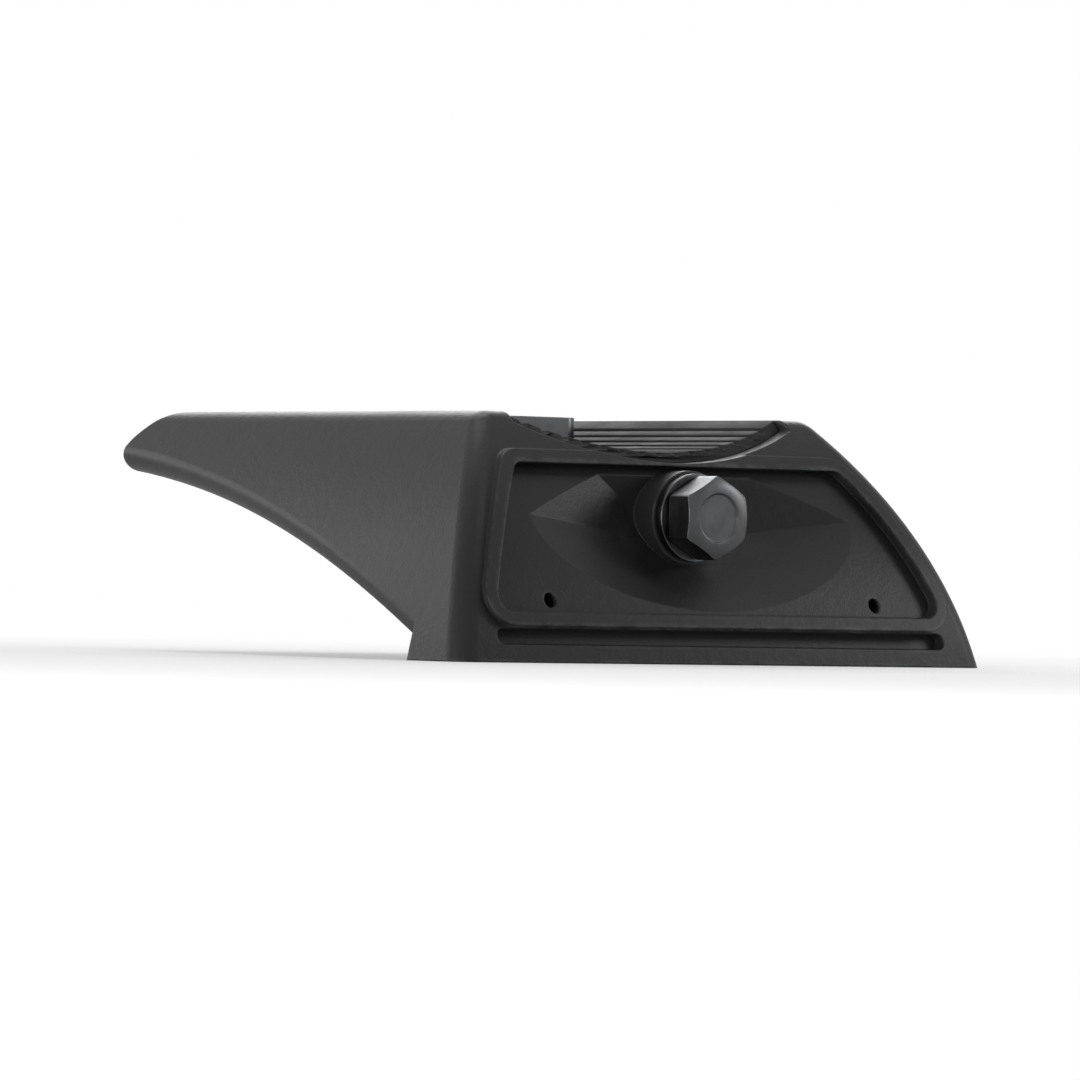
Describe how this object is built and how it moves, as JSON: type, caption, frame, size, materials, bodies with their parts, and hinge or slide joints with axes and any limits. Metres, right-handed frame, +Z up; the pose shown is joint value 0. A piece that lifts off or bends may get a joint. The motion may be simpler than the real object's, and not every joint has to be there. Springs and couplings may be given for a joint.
{
  "type": "roof bar foot",
  "caption": "Low black roof bar foot with a curved bar saddle, an arched inboard wing and a side screw that clamps a base tongue.",
  "frame": {"origin": "on the base plane at the middle of the clamped tongue socket, on the foot's plane of symmetry", "axes": "+X outboard along the bar, +Y along the vehicle, +Z up"},
  "size_m": [0.0971, 0.091, 0.0337],
  "materials": {
    "black_coat": "satin black powder coat with a fine texture",
    "rubber": "matte black moulded rubber",
    "dark_steel": "black zinc plated steel, slightly worn",
    "zinc_steel": "bright zinc plated steel",
    "jaw_steel": "dark sintered steel"
  },
  "bodies": {
    "leg": {"leg_casting": "black_coat", "saddle_pad": "rubber", "channel_plate": "dark_steel", "outer_bar_screw": "dark_steel", "outer_bar_washer": "dark_steel", "inner_bar_screw": "dark_steel", "inner_bar_washer": "dark_steel"},
    "screw": {"clamp_screw": "dark_steel", "clamp_washer": "dark_steel", "retaining_clip": "zinc_steel"},
    "jaw": {"clamp_jaw": "jaw_steel"}
  },
  "joints": [
    {"name": "clamp_screw_turn", "type": "hinge", "parent": "leg", "child": "screw", "pos_m": [0, 0, 0.0198], "axis": [1, 0, 0], "range_deg": [0, 1440]},
    {"name": "jaw_slide", "type": "slide", "parent": "leg", "child": "jaw", "axis": [-1, 0, 0], "range_m": [0, 0.004]}
  ],
  "couplings": [
    {"joint": "clamp_screw_turn", "follows": "jaw_slide", "rad_per_m": 6283.2}
  ]
}
